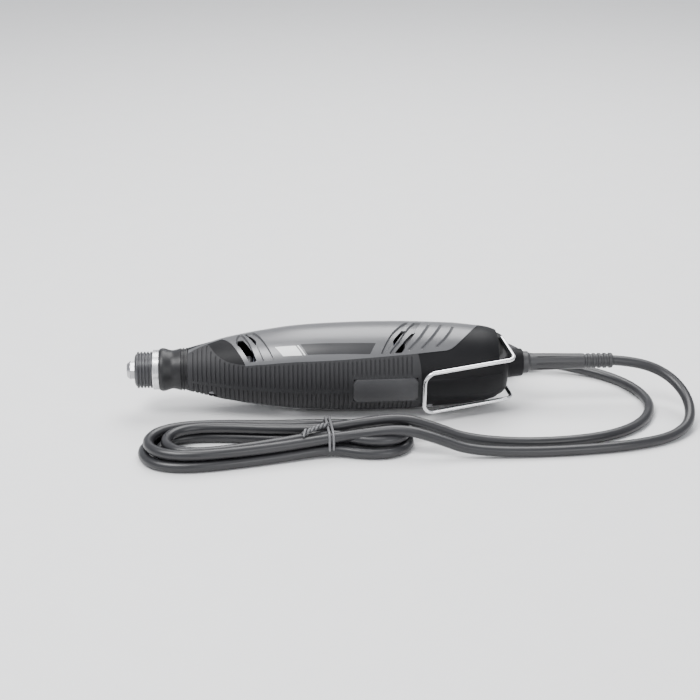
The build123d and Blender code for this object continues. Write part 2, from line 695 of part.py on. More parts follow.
PLUG_LONG = hypot(PLUG_NOSE[0] - TAIL_ROUTE[-1][0], PLUG_NOSE[1] - TAIL_ROUTE[-1][1])
PLUG_HALF_HIGH = 6.85
PIN_PITCH = 18.6


def plug_body():
    """Flat two-pin plug, thin at the cord and wide at the pins."""
    neck = 11.0
    sleeve = extrude(Plane.YZ * Circle(4.6), amount=neck + 1, taper=-4)
    outline = [(neck, -5.2), (neck + 5.0, -11.4), (PLUG_LONG, -13.0), (PLUG_LONG, 13.0), (neck + 5.0, 11.4), (neck, 5.2)]
    grip = prism(outline, -PLUG_HALF_HIGH, PLUG_HALF_HIGH, rounding=1.6)
    grip = fillet(grip.faces().sort_by(Axis.Z)[-1].edges() + grip.faces().sort_by(Axis.Z)[0].edges(), 1.2)
    return on_plug(sleeve + grip)


def plug_pins():
    pins = []
    for side in (-1, 1):
        pin = rod((PLUG_LONG, side * PIN_PITCH / 2, 0), (1, 0, 0), 19.0, 2.0)
        pin = fillet(pin.faces().sort_by(Axis.X)[-1].edges(), 1.2)
        pins.append(on_plug(pin))
    return Compound(pins)


# ---------------------------------------------------------------- all the pieces
def build():
    """Every sub-part by name, in the ground frame."""
    upper = block((-200, 300), (-80, 80), (0, 80))
    shell = housing_shell()
    front_outer, front_inner, front_balls = bearing(*FRONT_BEARING_X, SPINDLE_R)
    rear_outer, rear_inner, rear_balls = bearing(*REAR_BEARING_X, SHAFT_R)
    trim_left, cheek_left, grip_left = trim(), cheek(), soft_grip()
    low_screw = screw_places()[0]
    tool = {
        "housing_left": shell & upper,
        "housing_right": shell & mirrored(upper),
        "trim_left": trim_left,
        "trim_right": mirrored(trim_left),
        "cheek_left": cheek_left,
        "cheek_right": mirrored(cheek_left),
        "soft_grip_left": grip_left,
        "soft_grip_right": mirrored(grip_left) - screw_well(*low_screw) - housing_screw(*low_screw),
        "belly_pad": belly_pad(),
        "housing_screws": Compound([housing_screw(*place) for place in screw_places()]),
        "nose_cap": nose_cap(),
        "nose_cap_ring": nose_cap_ring(),
        "nose_cap_collar": nose_cap_collar(),
        "collet_nut": collet_nut(),
        "collet": collet(),
        "spindle": spindle(),
        "front_bearing_outer": front_outer,
        "front_bearing_inner": front_inner,
        "front_bearing_balls": front_balls,
        "rear_bearing_outer": rear_outer,
        "rear_bearing_inner": rear_inner,
        "rear_bearing_balls": rear_balls,
        "rear_bearing_bracket": rear_bearing_bracket(),
        "drive_coupling": drive_coupling(),
        "cooling_fan": cooling_fan(),
        "armature_shaft": armature_shaft(),
        "armature_core": armature_core(),
        "armature_windings": armature_windings(),
        "commutator": commutator(),
        "stator_core": stator_core(),
        "field_coil_upper": field_coil(0),
        "field_coil_lower": field_coil(180),
        "brush_yoke": brush_yoke(),
        "brush_holders": both_sides(brush_holder()),
        "carbon_brushes": both_sides(carbon_brush()),
        "brush_springs": both_sides(brush_spring()),
        "speed_control_board": speed_control_board(),
        "suppression_capacitor": suppression_capacitor(),
        "heat_sink": heat_sink(),
        "speed_potentiometer": speed_potentiometer(),
        "speed_dial": speed_dial(),
        "power_switch_body": power_switch_body(),
        "power_switch_button": power_switch_button(),
        "spindle_lock_button": spindle_lock_button(),
        "spindle_lock_spring": spindle_lock_spring(),
        "supply_leads": supply_leads(),
        "motor_leads": both_sides(motor_lead()),
        "cord_clamp": cord_clamp(),
        "clamp_screws": clamp_screws(),
        "cord_jacket_end": cord_jacket_end(),
        "strain_relief": strain_relief(),
        "hanger_bail": hanger_bail(),
    }
    pieces = {name: lay_down(part) for name, part in tool.items()}
    pieces["power_cord_lead"] = cord_tube("power_cord_lead", LEAD_ROUTE)
    pieces["cord_hank"] = cord_hank()
    pieces["cord_tie"] = cord_tie()
    pieces["power_cord_tail"] = cord_tube("power_cord_tail", TAIL_ROUTE)
    pieces["plug_body"] = plug_body()
    pieces["plug_pins"] = plug_pins()
    return pieces


for node, piece in build().items():
    export_step(piece, f"parts/{node}.step")
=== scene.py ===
"""Rotary hobby tool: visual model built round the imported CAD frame. Metres, row frame."""
import json
import math

import bpy
import numpy as np
from mathutils import Matrix, Vector
from mathutils.geometry import delaunay_2d_cdt
from mathutils.kdtree import KDTree


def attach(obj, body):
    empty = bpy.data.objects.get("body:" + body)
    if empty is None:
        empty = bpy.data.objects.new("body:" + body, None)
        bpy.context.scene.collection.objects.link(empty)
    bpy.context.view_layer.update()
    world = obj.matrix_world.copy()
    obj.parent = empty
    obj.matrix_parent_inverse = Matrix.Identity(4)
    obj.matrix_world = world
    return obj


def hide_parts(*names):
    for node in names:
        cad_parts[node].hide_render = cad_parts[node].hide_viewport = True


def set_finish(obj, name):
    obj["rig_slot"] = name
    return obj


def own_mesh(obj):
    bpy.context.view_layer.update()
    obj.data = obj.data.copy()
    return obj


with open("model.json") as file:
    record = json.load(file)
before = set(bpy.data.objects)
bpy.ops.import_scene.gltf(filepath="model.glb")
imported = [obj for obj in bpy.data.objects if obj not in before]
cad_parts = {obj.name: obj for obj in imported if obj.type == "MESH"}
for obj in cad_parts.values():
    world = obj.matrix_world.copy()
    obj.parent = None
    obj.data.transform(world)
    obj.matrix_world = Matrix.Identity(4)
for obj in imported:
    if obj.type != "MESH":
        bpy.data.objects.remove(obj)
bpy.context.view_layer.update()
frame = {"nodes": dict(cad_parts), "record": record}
NODES = frame["nodes"]
MM = 0.001

# Tool frame, in mm: X along the spindle, Z to the label side, -Y to the belly.
ROLL = math.radians(12.0)
ORIGIN = Vector((-26.75, 2.75, 25.8))
TOOL = Matrix.Translation(ORIGIN * MM) @ Matrix.Rotation(ROLL, 4, "X") @ Matrix.Scale(MM, 4)
FRONT_X = -80.0
TAIL_X = 105.5
CORD_R = 3.0


# ---------------------------------------------------------------- camera
def make_camera():
    """Stands at the photograph's angle, about 23 degrees above the horizon."""
    data = bpy.data.cameras.new("camera")
    camera = bpy.data.objects.new("camera", data)
    bpy.context.scene.collection.objects.link(camera)
    data.lens = 82.9
    data.sensor_width = 36.0
    camera.location = (-0.05785, -0.86175, 0.4014)
    forward = Vector((0.0482, 0.9199, -0.3891))
    camera.rotation_euler = forward.to_track_quat("-Z", "Y").to_euler()
    bpy.context.scene.camera = camera


# ---------------------------------------------------------------- power cord
HANK_MIDDLE = (-56.0, -55.0)
HANK_TURN = math.radians(4.0)
TIE_AT = 29.0

# The CAD's two runs, in mm on the ground frame, with their ends at the hank raised over its turns.
LEAD_ROUTE = [
    (142.25, 2.75, 25.8), (157.0, 2.0, 25.0), (174.0, -5.0, 20.0), (183.0, -20.0, 12.0), (181.0, -39.0, 5.0),
    (168.0, -54.0, 3.05), (147.0, -63.0, 3.05), (118.0, -68.0, 3.05), (84.0, -70.0, 3.05), (50.0, -69.0, 4.5),
    (33.0, -66.0, 10.5), (14.0, -62.0, 15.3),
]
TAIL_ROUTE = [
    (14.0, -47.5, 15.3), (32.0, -50.5, 10.5), (50.0, -54.5, 4.5), (80.0, -58.5, 3.05), (112.0, -57.0, 3.05),
    (138.0, -49.0, 3.05), (156.0, -33.0, 3.05), (164.0, -11.0, 3.05), (160.0, 12.0, 3.05),
    (147.0, 31.0, 3.05), (127.0, 43.0, 4.2), (105.0, 48.0, 6.85),
]
HANK_IN = (46.0, -9.5, 12.3)   # the hank's first and last points: along it, across it and height
HANK_OUT = (46.0, 4.5, 12.3)
# Each turn: its offset and height at the tie, then its left and right loops' length, half width and height.
TURNS = [
    (9.3, 9.2, (101, 8.4, 9.2), (46, 10.5, 3.05)),
    (9.3, 3.05, (104, 9.4, 3.05), (41, 9.0, 3.05)),
    (3.1, 3.05, (95, 9.6, 3.05), (44, 12.0, 9.2)),
    (3.1, 9.2, (91, 9.0, 9.2), None),
]
TIE_LIFT = 1.4                 # the tie's wire passes under the strands there
LOOP_RISE = 0.45               # share of a loop over which it changes height
LEFT_STEPS = (-0.8, -0.6, -0.42, -0.25, -0.08, 0.08, 0.25, 0.42, 0.6, 0.8)
RIGHT_STEPS = (0.72, 0.45, 0.16, -0.16, -0.45, -0.72)


def on_hank(along, across, z):
    """Ground-frame point from a place along and across the hank."""
    cos, sin = math.cos(HANK_TURN), math.sin(HANK_TURN)
    return (HANK_MIDDLE[0] + along * cos - across * sin, HANK_MIDDLE[1] + along * sin + across * cos, z)


def loop_points(offset, height, shape, side, steps):
    """Teardrop loop that starts and ends at the tie."""
    length, wide, top = shape
    points = []
    for step in steps:
        reach = math.cos(math.pi * step / 2)
        fullness = 1.0 + reach ** 2 if side < 0 else 1.0
        across = wide * fullness * math.sin(math.pi * step) + offset * math.sin(math.pi * step / 2)
        rise = min(1.0, (1.0 - abs(step)) / LOOP_RISE)
        points.append((TIE_AT + side * length * reach, across, height + (top - height) * rise))
    return points


def cord_points():
    """The whole cord's control points: the lead, the hank's turns and the tail."""
    local = [HANK_IN]
    for index, (offset, height, left, right) in enumerate(TURNS):
        local.append((TIE_AT, -offset, height + TIE_LIFT))
        local += loop_points(offset, height, left, -1, LEFT_STEPS)
        local.append((TIE_AT, offset, height + TIE_LIFT))
        if right:
            after, level = TURNS[index + 1][:2]
            local += loop_points(offset, height, right, 1, [step for step in RIGHT_STEPS if step > 0])
            local += loop_points(after, level, right, 1, [step for step in RIGHT_STEPS if step < 0])
    local.append(HANK_OUT)
    return LEAD_ROUTE + [on_hank(*point) for point in local] + TAIL_ROUTE


def make_curve(name, points, radius, order=3, resolution=10, cyclic=False):
    """NURBS wire along control points in metres, with its thickness in the points' radius."""
    data = bpy.data.curves.new(name, "CURVE")
    data.dimensions = "3D"
    data.bevel_depth = 1.0
    data.bevel_resolution = 6
    data.resolution_u = resolution
    data.use_fill_caps = True
    spline = data.splines.new("NURBS")
    spline.points.add(len(points) - 1)
    for spot, point in zip(spline.points, points):
        spot.co = (*point, 1.0)
        spot.radius = radius
    spline.use_cyclic_u = cyclic
    spline.order_u = order
    spline.use_endpoint_u = not cyclic
    curve = bpy.data.objects.new(name, data)
    bpy.context.scene.collection.objects.link(curve)
    return curve


def make_cord():
    points = [Vector(point) * MM for point in cord_points()]
    cord = make_curve("power_cord", points, CORD_R * MM)
    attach(cord, "root")
    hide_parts("power_cord_lead", "cord_hank", "power_cord_tail")
    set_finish(cord, "cord")
    return cord


# ---------------------------------------------------------------- housing surface
# Radius along the axis, then the rounded tail, as in the CAD.
SIDE = [(-80.0, 12.4), (-68.0, 15.5), (-56.5, 18.3), (-35.5, 22.0), (-15.0, 24.4), (14.0, 25.5), (43.5, 25.4),
        (73.0, 24.0), (90.0, 22.3)]
TAIL_EDGE_R = 12.5
NECK_R = 10.0
FLAT_X = 99.5
FLAT_Z = 12.2
AROUND = 20.0                  # the flat layout's mm per radian round the axis
HALF_ROUND = AROUND * math.pi / 2
TAIL_STEPS = 40
FINE = 0.6                     # spacing along the edge lines
FLAT_BAND = 0.05               # width of the strip where the tail's flat begins


def hermite(p0, p1, m0, m1, t):
    """Cubic from p0 to p1 with slopes m0 and m1, at t from 0 to 1."""
    a = 2 * t ** 3 - 3 * t ** 2 + 1
    b = t ** 3 - 2 * t ** 2 + t
    c = -2 * t ** 3 + 3 * t ** 2
    d = t ** 3 - t ** 2
    return a * p0 + b * m0 + c * p1 + d * m1


def through(points, step):
    """Smooth curve through points, sampled about every step mm."""
    points = [np.array(point, float) for point in points]
    slopes = []
    for index, point in enumerate(points):
        before = points[max(index - 1, 0)]
        after = points[min(index + 1, len(points) - 1)]
        reach = np.linalg.norm(after - point) + np.linalg.norm(point - before)
        slopes.append((after - before) / reach)
    out = [points[0]]
    for index in range(len(points) - 1):
        p0, p1 = points[index], points[index + 1]
        span = np.linalg.norm(p1 - p0)
        count = max(1, int(round(span / step)))
        for k in range(1, count + 1):
            out.append(hermite(p0, p1, slopes[index] * span, slopes[index + 1] * span, k / count))
    return out


def make_profile():
    """(distance, X, R) along the housing's outline, where distance is X as far as the tail."""
    line = [(x, x, r) for x, r in through(SIDE, 1.0)]
    start = np.array(SIDE[-1])
    end = np.array((TAIL_X, TAIL_EDGE_R))
    before = np.array(line[-2][1:])
    heading = (start - before) / np.linalg.norm(start - before)
    chord = np.linalg.norm(end - start)
    far = SIDE[-1][0]
    last = start
    for k in range(1, TAIL_STEPS + 1):
        spot = hermite(start, end, heading * chord, np.array((0.0, -1.0)) * chord, k / TAIL_STEPS)
        far += np.linalg.norm(spot - last)
        line.append((far, spot[0], spot[1]))
        last = spot
    line.append((far + TAIL_EDGE_R - NECK_R, TAIL_X, NECK_R))
    return np.array(line)


PROFILE = make_profile()
LAST_U = PROFILE[-1][0]


def profile_at(u):
    """X, R and the outward normal's two parts at a distance along the profile."""
    x = np.interp(u, PROFILE[:, 0], PROFILE[:, 1])
    r = np.interp(u, PROFILE[:, 0], PROFILE[:, 2])
    ahead = np.clip(u + 0.5, FRONT_X, LAST_U)
    behind = np.clip(u - 0.5, FRONT_X, LAST_U)
    far, xs, rs = PROFILE.T
    dx = np.interp(ahead, far, xs) - np.interp(behind, far, xs)
    dr = np.interp(ahead, far, rs) - np.interp(behind, far, rs)
    size = np.hypot(dx, dr)
    return x, r, -dr / size, dx / size


def radius_at(x):
    return float(np.interp(x, PROFILE[:, 0], PROFILE[:, 2]))


def lay_out(outline):
    """Points in X and Y on the label side, moved to the flat layout."""
    flat = []
    for x, y in outline:
        flat.append((x, AROUND * math.asin(max(-1.0, min(1.0, -y / radius_at(x))))))
    return flat


def on_surface(flat, height, side):
    """Tool-frame points of a flat layout at a height over the housing's surface."""
    u, s = flat[:, 0], flat[:, 1]
    x, r, nx, nr = profile_at(u)
    angle = s / AROUND
    radius = r + height * nr
    z = radius * np.cos(angle)
    z = np.where((u > FLAT_X - 0.02) & (x > FLAT_X - 0.02), np.minimum(z, FLAT_Z), z)
    return np.stack([x + height * nx, -radius * np.sin(angle), side * z], axis=1)


# ---------------------------------------------------------------- outlines, in X and Y of the tool frame
STRIP = [(-79.6, -2.2), (-74.0, 0.6), (-68.0, 2.8), (-60.0, 4.9)]
SEAT = [(-60.0, 4.9), (-55.9, -0.2), (-52.6, -5.7), (-49.3, -11.0), (-46.4, -15.9)]
LOWER = [(-46.4, -15.9), (-29.6, -17.4), (-3.5, -18.6), (22.8, -18.2), (49.2, -16.6), (68.5, -14.5)]
CORNER = [(68.5, -14.5), (71.6, -13.4), (74.2, -11.6)]
REAR = [(74.2, -11.6), (79.0, -6.8), (84.1, -0.2), (89.0, 8.0)]
UPPER = [(89.0, 8.0), (70.0, 13.6), (45.0, 16.6), (15.0, 18.2), (-15.0, 17.2), (-40.0, 13.6), (-60.0, 8.4),
         (-79.6, 0.9)]
SEAM = [(-68.6, 3.4), (-64.0, -6.4), (-58.2, -11.7), (-51.9, -14.2), (-46.0, -15.6)]
UNDER_TRIM = [(-44.0, -11.0), (-56.0, 6.4)]
GRIP_FIELD = [(-79.99, -1.4), (-70.0, 3.4), (-66.0, 4.4), (-60.0, 0.0), (-44.0, -13.0), (-29.6, -15.4),
              (-3.5, -16.6), (22.8, -16.2), (51.4, -14.4)]
GRIP_BACK = [(51.8, -15.6), (53.2, -20.0), (54.2, -25.0)]
SLOTS = [
    [(-51.2, 1.0), (-48.4, 1.0), (-40.6, -13.6), (-41.0, -15.0), (-44.2, -15.0), (-51.2, -3.6)],
    [(-47.2, 5.4), (-44.6, 5.4), (-40.4, -2.4), (-40.4, -7.0)],
    [(42.6, -2.6), (45.8, -2.6), (38.2, -13.0), (38.2, -9.0)],
    [(49.6, -3.0), (51.4, -4.2), (47.0, -11.0), (42.6, -16.0), (38.9, -16.0), (43.4, -11.0)],
]
FIELDS = [
    [(-50.6, 7.0), (-41.6, 7.0), (-30.0, -15.9), (-42.5, -15.2), (-51.8, -3.4), (-51.8, 2.0)],
    [(46.5, 8.0), (56.0, 8.0), (50.0, -6.0), (43.2, -16.3), (30.5, -16.8), (37.5, -4.5)],
]
BARS = [
    [(-48.8, 7.5), (-46.6, 7.5), (-36.2, -16.2), (-39.6, -16.2)],
    [(49.0, 8.5), (51.8, 8.5), (41.6, -9.5), (34.6, -17.2), (32.6, -17.2), (39.8, -9.5)],
]
GROOVES = [
    [(60.4, 5.6), (57.6, -1.0), (53.0, -8.6), (46.6, -15.0)],
    [(67.4, 5.8), (64.8, -0.6), (60.2, -8.0), (54.0, -14.4)],
    [(74.0, 3.6), (71.8, -2.0), (68.0, -8.0), (62.6, -13.2)],
]
PLATE = [(-29.6, -9.6), (-17.7, -10.3), (-13.9, -15.6), (-24.9, -14.9)]
PLATE_BAR = [(-16.9, -10.2), (-16.1, -10.2), (-12.1, -15.6), (-12.9, -15.6)]
STRIPE = [(-15.0, -9.6), (28.3, -11.0), (24.7, -16.6), (-11.0, -15.6)]
# X from, X to and half width of what straddles the parting plane.
PAD = (15.0, 52.0, 7.6)
KEEL = (57.5, 102.0, 5.6)
OPENINGS = [(-69.2, -59.8, 3.7), (60.4, 71.6, 2.4), (77.3, 97.7, 3.9)]
WELLS = [(-66.0, -12.0), (60.0, -17.5), (95.0, -12.5), (57.0, 18.0)]
WELL_R = 2.9
WELL_STEPS = 36

PROUD = 0.3                    # height of the panel and grip over the housing
CHEEK_PROUD = 0.1
SEAT_DEPTH = 1.6
WALL = 2.4
LINER_GAP = 0.02
LABEL_PROUD = 0.05             # height of the plate and stripe over the panel
LABEL_BOTTOM = 0.1
KEEL_PROUD = 0.8
EDGE = 0.16                    # bevel of the pieces' rims
SHARP = math.radians(28)
SUNK = 1.3                     # depth of the vent fields under the panel's face
SLOPE = 0.6                    # width of their bevelled edge
GROOVE_HALF = 0.85
GROOVE_DEPTH = 0.9
RIB_PITCH = 2.6
RIB_RANGE = (-77.0, 49.5)
RIB_DEPTH = 0.5
RIB_STEPS = (0.0, 0.25, 0.7, 0.95, 1.75)
RIB_CUT = (0, 1, 1, 0, 0)      # a groove's depth at the first four steps and at the pitch
RIB_STOP = 0.9                 # the grooves fade out over RIB_FADE at this distance from an edge
RIB_FADE = 0.8
GRID = 1.1                     # spacing of the free points, and how near a line they may come
GRID_TOP = 30.8
CLEAR = 0.32


def rounded(corners, radius, step=0.5):
    """Closed outline with rounded corners, sampled about every step."""
    out = []
    count = len(corners)
    for index in range(count):
        corner = np.array(corners[index], float)
        before = np.array(corners[index - 1], float)
        after = np.array(corners[(index + 1) % count], float)
        back = np.linalg.norm(before - corner)
        ahead = np.linalg.norm(after - corner)
        reach = min(radius, 0.45 * back, 0.45 * ahead)
        start = corner + (before - corner) / back * reach
        end = corner + (after - corner) / ahead * reach
        for k in range(5):
            t = k / 4
            out.append((1 - t) ** 2 * start + 2 * t * (1 - t) * corner + t * t * end)
    return even(out + [out[0]], step)[:-1]


def even(points, step):
    """The same broken line with no run longer than step."""
    out = [tuple(points[0])]
    for a, b in zip(points, points[1:]):
        a, b = np.array(a, float), np.array(b, float)
        count = max(1, math.ceil(np.linalg.norm(b - a) / step))
        for k in range(1, count + 1):
            out.append(tuple(a + (b - a) * k / count))
    return out


def segments(line, closed):
    """Points of a line, with its first again at the end if it is closed."""
    line = np.array(line)
    return line if not closed else np.vstack([line, line[:1]])


def distance(points, line, closed=True):
    """Distance of each point to a line."""
    line = segments(line, closed)
    best = np.full(len(points), 1e9)
    for a, b in zip(line, line[1:]):
        run = b - a
        size = run @ run
        if size < 1e-12:
            continue
        t = np.clip((points - a) @ run / size, 0, 1)
        gap = points - a - t[:, None] * run
        best = np.minimum(best, np.hypot(gap[:, 0], gap[:, 1]))
    return best


def inside(points, outline):
    """Whether each point is within a closed outline."""
    hit = np.zeros(len(points), bool)
    line = segments(outline, True)
    for (ax, ay), (bx, by) in zip(line, line[1:]):
        if ay == by:
            continue
        crosses = (ay > points[:, 1]) != (by > points[:, 1])
        x = ax + (points[:, 1] - ay) * (bx - ax) / (by - ay)
        hit ^= crosses & (points[:, 0] < x)
    return hit


def depth_in(points, outline):
    """Distance to the outline, positive inside."""
    return np.where(inside(points, outline), 1, -1) * distance(points, outline)


def shifted(outline, amount):
    """Closed outline moved inwards by an amount, or outwards by a negative one."""
    line = np.array(outline)
    run = np.roll(line, -1, 0) - np.roll(line, 1, 0)
    run /= np.maximum(np.hypot(run[:, 0], run[:, 1]), 1e-9)[:, None]
    area = np.sum(line[:, 0] * np.roll(line[:, 1], -1) - np.roll(line[:, 0], -1) * line[:, 1])
    normal = np.stack([-run[:, 1], run[:, 0]], 1) * (1 if area > 0 else -1)
    return [tuple(point) for point in line + normal * amount]


def across(half_width, x):
    """Flat-layout place round the axis where Z is half_width, on the back."""
    return AROUND * math.acos(min(1.0, half_width / radius_at(min(x, SIDE[-1][0]))))


def strip_line(x0, x1, half_width, belly, margin=0.0):
    """Outline, open at the parting plane, of an opening or pad that straddles it."""
    sign = 1 if belly else -1
    count = int((x1 - x0) / FINE)
    edge = [(x0 - margin, sign * HALF_ROUND)]
    for k in range(count + 1):
        x = x0 - margin + (x1 - x0 + 2 * margin) * k / count
        edge.append((x, sign * across(half_width + margin, x)))
    edge.append((x1 + margin, sign * HALF_ROUND))
    return even(edge, FINE)


class Layout:
    """One side of the housing, laid flat and cut into triangles along every edge line."""

    def __init__(self, wells):
        self.trim = lay_out(self.trim_line())
        self.seam = lay_out(through(SEAM, FINE))
        self.cheek = self.seam + lay_out(UNDER_TRIM)
        self.grip = lay_out(GRIP_FIELD) + lay_out(GRIP_BACK)
        self.grip.append((GRIP_BACK[-1][0], HALF_ROUND + 1))
        self.grip += [(FRONT_X - 0.1, HALF_ROUND + 1), (FRONT_X - 0.1, 2.0)]
        self.slots = [lay_out(rounded(slot, 0.6)) for slot in SLOTS]
        self.fields = [lay_out(rounded(field, 1.4)) for field in FIELDS]
        self.bars = [lay_out(rounded(bar, 0.5)) for bar in BARS]
        self.grooves = [lay_out(through(groove, FINE)) for groove in GROOVES]
        self.plate = lay_out(rounded(PLATE, 0.35, 1.0))
        self.plate_bar = lay_out(rounded(PLATE_BAR, 0.1, 1.0))
        self.stripe = lay_out(rounded(STRIPE, 0.5, 1.0))
        self.pad = strip_line(*PAD, True)
        self.keel = strip_line(*KEEL, True)
        self.openings = [strip_line(*opening, False) for opening in OPENINGS]
        self.wells = [lay_out(self.well_ring(*well)) for well in WELLS] if wells else []
        self.points = []
        self.edges = []
        self.cut()

    @staticmethod
    def trim_line():
        line = []
        for run in (STRIP, SEAT, LOWER, CORNER, REAR, UPPER):
            line += [tuple(point) for point in through(run, FINE)][:-1]
        return line + even([UPPER[-1], STRIP[0]], FINE)[:-1]

    @staticmethod
    def well_ring(x, y):
        angles = np.arange(WELL_STEPS) * math.pi / (WELL_STEPS / 2)
        return [(x + WELL_R * math.cos(a), y + WELL_R * math.sin(a)) for a in angles]

    def add_line(self, line, closed):
        first = len(self.points)
        self.points += [(float(x), float(y)) for x, y in line]
        count = len(line)
        self.edges += [(first + k, first + k + 1) for k in range(count - 1)]
        if closed:
            self.edges.append((first + count - 1, first))

    def closed_lines(self):
        corners = [(FRONT_X, -HALF_ROUND), (LAST_U, -HALF_ROUND), (LAST_U, HALF_ROUND), (FRONT_X, HALF_ROUND)]
        border = even(corners + corners[:1], 0.8)[:-1]
        loops = [self.trim, self.plate, self.plate_bar, self.stripe]
        loops += self.slots + self.fields + self.bars + self.wells
        loops += [shifted(field, SLOPE) for field in self.fields]
        loops += [shifted(bar, -SLOPE) for bar in self.bars]
        return [border] + loops

    def open_lines(self):
        grip_back = lay_out(through(GRIP_BACK, FINE)) + [(GRIP_BACK[-1][0], HALF_ROUND)]
        lines = [self.seam, grip_back]
        lines += [self.pad, self.keel, strip_line(*KEEL, True, 0.5)] + self.openings
        for x in (FLAT_X - FLAT_BAND, FLAT_X):
            lines.append(even([(self.flat_u(x), -HALF_ROUND), (self.flat_u(x), HALF_ROUND)], 0.8))
        for groove in self.grooves:
            lines.append(groove)
            for side in (-1, 1):
                lines.append(self.beside(groove, side * GROOVE_HALF))
        return lines

    def cut(self):
        for line in self.closed_lines():
            self.add_line(line, True)
        for line in self.open_lines():
            self.add_line(line, False)
        self.fill()
        result = delaunay_2d_cdt([Vector(point) for point in self.points], self.edges, [], 0, 1e-5)
        self.flat = np.array([tuple(vert) for vert in result[0]])
        self.faces = np.array([tuple(face) for face in result[2]])
        self.middle = self.flat[self.faces].mean(axis=1)

    @staticmethod
    def flat_u(x):
        """Distance along the profile where it reaches X."""
        return float(np.interp(x, PROFILE[:, 1][:-1], PROFILE[:, 0][:-1]))

    @staticmethod
    def beside(line, offset):
        """Open line moved sideways."""
        line = np.array(line)
        run = np.gradient(line, axis=0)
        run /= np.hypot(run[:, 0], run[:, 1])[:, None]
        return line + np.stack([-run[:, 1], run[:, 0]], 1) * offset

    def fill(self):
        """Free points between the lines: about 1 mm apart, and along each rib on the grip."""
        tree = KDTree(len(self.points))
        for index, (x, y) in enumerate(self.points):
            tree.insert((x, y, 0), index)
        tree.balance()
        rows = np.arange(-GRID_TOP, GRID_TOP + 0.2, GRID)
        spots = np.array([(x, y) for x in np.arange(FRONT_X + 1, LAST_U, GRID) for y in rows])
        in_ribs = (spots[:, 0] > RIB_RANGE[0] - 0.5) & (spots[:, 0] < RIB_RANGE[1] + 0.5)
        spots = spots[~(self.on_grip(spots) & in_ribs)]
        ribs = []
        for first in np.arange(*RIB_RANGE, RIB_PITCH):
            ribs += [(first + step, y) for step in RIB_STEPS for y in np.arange(0.0, GRID_TOP + 0.2, 0.9)]
        ribs = np.array(ribs)
        for x, y in np.vstack([spots, ribs[self.on_grip(ribs)]]):
            if tree.find((x, y, 0))[2] > CLEAR:
                self.points.append((float(x), float(y)))

    def on_grip(self, points):
        return inside(points, self.grip) & ~inside(points, self.trim) & ~inside(points, self.cheek)

    @staticmethod
    def inside_any(points, outlines):
        hit = np.zeros(len(points), bool)
        for outline in outlines:
            hit |= inside(points, outline)
        return hit

    def classes(self):
        """Which triangles belong to which piece."""
        mid = self.middle
        trim = inside(mid, self.trim)
        cheek = inside(mid, self.cheek) & ~trim
        pad = inside(mid, self.pad)
        grip = inside(mid, self.grip) & ~trim & ~cheek & ~pad
        open_trim = self.inside_any(mid, self.slots)
        gap = self.inside_any(mid, self.openings + self.wells)
        shell = ~(trim | cheek | grip | pad | gap)
        grip &= ~gap
        return {
            "trim": trim & ~open_trim,
            "cheek": cheek & ~gap,
            "grip": grip,
            "shell": shell,
            "liner": (trim & ~open_trim) | cheek | grip | pad,
            "plate": (inside(mid, self.plate) | inside(mid, self.plate_bar)) & trim,
            "stripe": inside(mid, self.stripe) & trim,
        }

    def trim_height(self):
        """Height over the housing's surface: proud, with sunk vent fields and grooves."""
        depth = np.zeros(len(self.flat))
        for field, bar in zip(self.fields, self.bars):
            reach = np.minimum(depth_in(self.flat, field), -depth_in(self.flat, bar))
            depth = np.maximum(depth, SUNK * np.clip(reach / SLOPE, 0, 1))
        for groove in self.grooves:
            gap = distance(self.flat, groove, closed=False)
            ends = np.minimum(np.hypot(*(self.flat - groove[0]).T), np.hypot(*(self.flat - groove[-1]).T))
            cut = GROOVE_DEPTH * np.clip(1 - gap / GROOVE_HALF, 0, 1) * np.clip(ends / 1.0, 0, 1)
            depth = np.maximum(depth, cut)
        return PROUD - depth

    def grip_height(self):
        """Height over the housing's surface, with grooves between the ribs."""
        u = self.flat[:, 0]
        place = np.mod(u - RIB_RANGE[0] + 1e-6, RIB_PITCH)
        cut = np.interp(place, (*RIB_STEPS[:4], RIB_PITCH), RIB_CUT)
        cut *= (u > RIB_RANGE[0] - 0.01) & (u < RIB_RANGE[1])
        edge = np.minimum(distance(self.flat, self.trim), distance(self.flat, self.seam, False))
        edge = np.minimum(edge, distance(self.flat, self.pad, False))
        edge = np.minimum(edge, HALF_ROUND - np.abs(self.flat[:, 1]))
        return PROUD - RIB_DEPTH * cut * np.clip((edge - RIB_STOP) / RIB_FADE, 0, 1)

    def shell_height(self):
        """Height over the housing's surface: flush, with the keel raised."""
        return KEEL_PROUD * np.clip(depth_in(self.flat, self.keel) / 0.5 + 1, 0, 1)


def outer_rim(faces):
    """Edges that only one triangle has, in its order."""
    seen = {}
    for a, b, c in faces:
        for edge in ((a, b), (b, c), (c, a)):
            seen[edge] = True
    return [edge for edge in seen if (edge[1], edge[0]) not in seen]


def weigh_rim(mesh, rim):
    """Marks the upper rim for the bevel."""
    weights = mesh.attributes.new("bevel_weight_edge", "FLOAT", "EDGE")
    rims = {frozenset((int(a), int(b))) for a, b in rim}
    values = [1.0 if frozenset(edge.vertices) in rims else 0.0 for edge in mesh.edges]
    weights.data.foreach_set("value", values)


